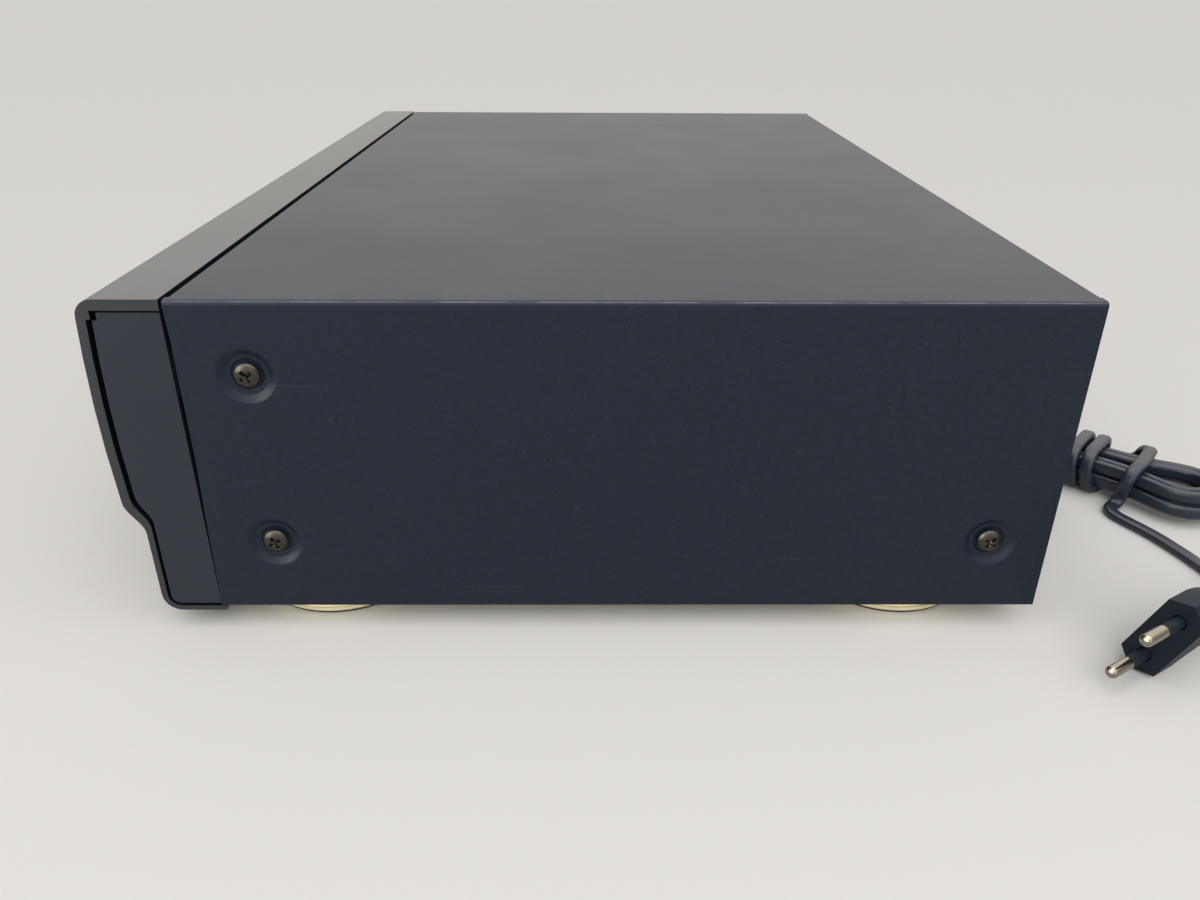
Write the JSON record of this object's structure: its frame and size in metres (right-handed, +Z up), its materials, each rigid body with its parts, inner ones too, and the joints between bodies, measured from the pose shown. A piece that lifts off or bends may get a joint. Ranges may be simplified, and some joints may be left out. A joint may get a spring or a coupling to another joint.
{
  "type": "cd player",
  "caption": "Full-width hi-fi disc player: dark folded cover, curved front with a motor tray, round feet, and a mains cord tied in a hank behind it.",
  "frame": {"origin": "on the floor under the middle of the player without its cord", "axes": "+X to the right as seen from the front, the side that the picture shows, +Y to the rear, +Z up; the front looks along -Y"},
  "size_m": [0.4714, 0.4191, 0.1155],
  "materials": {
    "cover_paint": "fine matt dark blue-black powder coat",
    "panel_metal": "dark anodised, satin",
    "frame_plastic": "dark grey, moulded",
    "sheet_zinc": "zinc plated sheet",
    "steel": "bare drawn steel",
    "dark_screw": "dark zinc-nickel plated",
    "foot_gold": "champagne gold ring on a black base",
    "black_plastic": "fine satin",
    "button_plastic": "dark satin",
    "white_plastic": "natural acetal",
    "rubber": "matt",
    "cord_black": "black vinyl sheath, satin",
    "copper": "taped copper winding",
    "core_steel": "varnished laminations",
    "board_green": "green solder mask",
    "aluminium": "mill finish",
    "smoked_window": "smoked, clear",
    "display_glass": "dark vacuum tube glass",
    "nickel": "nickel plated, bright",
    "lens_glass": "coated lens"
  },
  "bodies": {
    "case": {"top_cover": "cover_paint", "chassis_base": "sheet_zinc", "rear_panel": "cover_paint", "front_panel": "panel_metal", "front_frame": "frame_plastic", "display_window": "smoked_window", "display_module": "display_glass", "front_board": "board_green", "foot_front_left": "foot_gold", "foot_front_right": "foot_gold", "foot_rear_left": "foot_gold", "foot_rear_right": "foot_gold", "strain_relief": "rubber", "cord_lead": "cord_black", "cord_hank": "cord_black", "cord_tail": "cord_black", "plug_body": "cord_black", "plug_pin_1": "nickel", "plug_pin_2": "nickel", "transformer_core": "core_steel", "transformer_coil": "copper", "main_board": "board_green", "heat_sink": "aluminium", "reservoir_capacitor": "black_plastic", "audio_sockets": "black_plastic", "loader_chassis": "black_plastic", "loading_motor": "steel", "drive_belt": "rubber", "clamp_bridge": "steel", "headphone_jack": "black_plastic", "cover_screw_left_front_upper": "dark_screw", "cover_screw_left_front_lower": "dark_screw", "cover_screw_left_rear_lower": "dark_screw", "cover_screw_right_front_upper": "dark_screw", "cover_screw_right_front_lower": "dark_screw", "cover_screw_right_rear_lower": "dark_screw"},
    "tray": {"disc_tray": "black_plastic", "tray_door": "panel_metal"},
    "tray_drive_gear": {"tray_gear": "white_plastic"},
    "belt_wheel": {"belt_wheel": "white_plastic"},
    "motor_pulley": {"motor_pulley": "white_plastic"},
    "cam": {"cam_slide": "white_plastic"},
    "lift": {"lift_frame": "steel", "spindle_motor": "steel", "guide_rod": "nickel", "sled_motor": "steel"},
    "turntable": {"turntable": "aluminium"},
    "clamp": {"disc_clamp": "black_plastic"},
    "sled": {"pickup_sled": "black_plastic"},
    "sled_gear": {"sled_gear": "white_plastic"},
    "lens": {"objective_lens": "lens_glass"},
    "knob": {"headphone_knob": "button_plastic"},
    "power_button": {"power_button": "button_plastic"},
    "open_button": {"open_button": "button_plastic"},
    "play_button": {"play_button": "button_plastic"},
    "stop_button": {"stop_button": "button_plastic"},
    "skip_back_button": {"skip_back_button": "button_plastic"},
    "skip_forward_button": {"skip_forward_button": "button_plastic"}
  },
  "joints": [
    {"name": "tray_slide", "type": "slide", "parent": "case", "child": "tray", "axis": [0, -1, 0], "range_m": [0, 0.142]},
    {"name": "tray_gear_spin", "type": "hinge", "parent": "case", "child": "tray_drive_gear", "pos_m": [0.047, -0.10758, 0.0713], "axis": [0, 0, 1], "range_deg": [-690, 12]},
    {"name": "belt_wheel_spin", "type": "hinge", "parent": "case", "child": "belt_wheel", "pos_m": [0.029, -0.10758, 0.0625], "axis": [0, 0, 1], "range_deg": [-12, 1380]},
    {"name": "motor_pulley_spin", "type": "hinge", "parent": "case", "child": "motor_pulley", "pos_m": [-0.012, -0.10758, 0.0625], "axis": [0, 0, 1], "range_deg": [-24, 2920]},
    {"name": "mech_lift", "type": "hinge", "parent": "case", "child": "lift", "pos_m": [0, 0.01643, 0.066], "axis": [1, 0, 0], "range_deg": [0, 5.5]},
    {"name": "cam_travel", "type": "slide", "parent": "case", "child": "cam", "axis": [1, 0, 0], "range_m": [0, 0.012]},
    {"name": "turntable_spin", "type": "hinge", "parent": "lift", "child": "turntable", "pos_m": [0, -0.07157, 0.0815], "axis": [0, 0, 1], "continuous": true},
    {"name": "clamp_spin", "type": "hinge", "parent": "case", "child": "clamp", "pos_m": [0, -0.07157, 0.0962], "axis": [0, 0, 1], "continuous": true},
    {"name": "sled_slide", "type": "slide", "parent": "lift", "child": "sled", "axis": [0, 1, 0], "range_m": [0, 0.034]},
    {"name": "sled_gear_spin", "type": "hinge", "parent": "lift", "child": "sled_gear", "pos_m": [-0.0253, -0.01958, 0.064], "axis": [0, 0, 1], "range_deg": [-12, 415]},
    {"name": "lens_focus", "type": "slide", "parent": "sled", "child": "lens", "axis": [0, 0, 1], "range_m": [-0.0007, 0.0007], "stiffness_N_per_m": 50},
    {"name": "knob_turn", "type": "hinge", "parent": "case", "child": "knob", "pos_m": [-0.11799, -0.14943, 0.06], "axis": [0, -1, 0], "range_deg": [-150, 150]},
    {"name": "power_button_press", "type": "slide", "parent": "case", "child": "power_button", "axis": [0, 1, 0], "range_m": [0, 0.0015], "stiffness_N_per_m": 800, "springref_m": -0.0005},
    {"name": "open_button_press", "type": "slide", "parent": "case", "child": "open_button", "axis": [0, 1, 0], "range_m": [0, 0.001], "stiffness_N_per_m": 800, "springref_m": -0.0005},
    {"name": "play_button_press", "type": "slide", "parent": "case", "child": "play_button", "axis": [0, 1, 0], "range_m": [0, 0.001], "stiffness_N_per_m": 800, "springref_m": -0.0005},
    {"name": "stop_button_press", "type": "slide", "parent": "case", "child": "stop_button", "axis": [0, 1, 0], "range_m": [0, 0.001], "stiffness_N_per_m": 800, "springref_m": -0.0005},
    {"name": "skip_back_button_press", "type": "slide", "parent": "case", "child": "skip_back_button", "axis": [0, 1, 0], "range_m": [0, 0.001], "stiffness_N_per_m": 800, "springref_m": -0.0005},
    {"name": "skip_forward_button_press", "type": "slide", "parent": "case", "child": "skip_forward_button", "axis": [0, 1, 0], "range_m": [0, 0.001], "stiffness_N_per_m": 800, "springref_m": -0.0005}
  ],
  "couplings": [
    {"joint": "tray_gear_spin", "follows": "tray_slide", "rad_per_m": -83.333},
    {"joint": "belt_wheel_spin", "follows": "tray_slide", "rad_per_m": 166.67},
    {"joint": "motor_pulley_spin", "follows": "tray_slide", "rad_per_m": 353.19},
    {"joint": "cam_travel", "follows": "mech_lift", "m_per_rad": 0.125},
    {"joint": "sled_gear_spin", "follows": "sled_slide", "rad_per_m": 208.33}
  ]
}
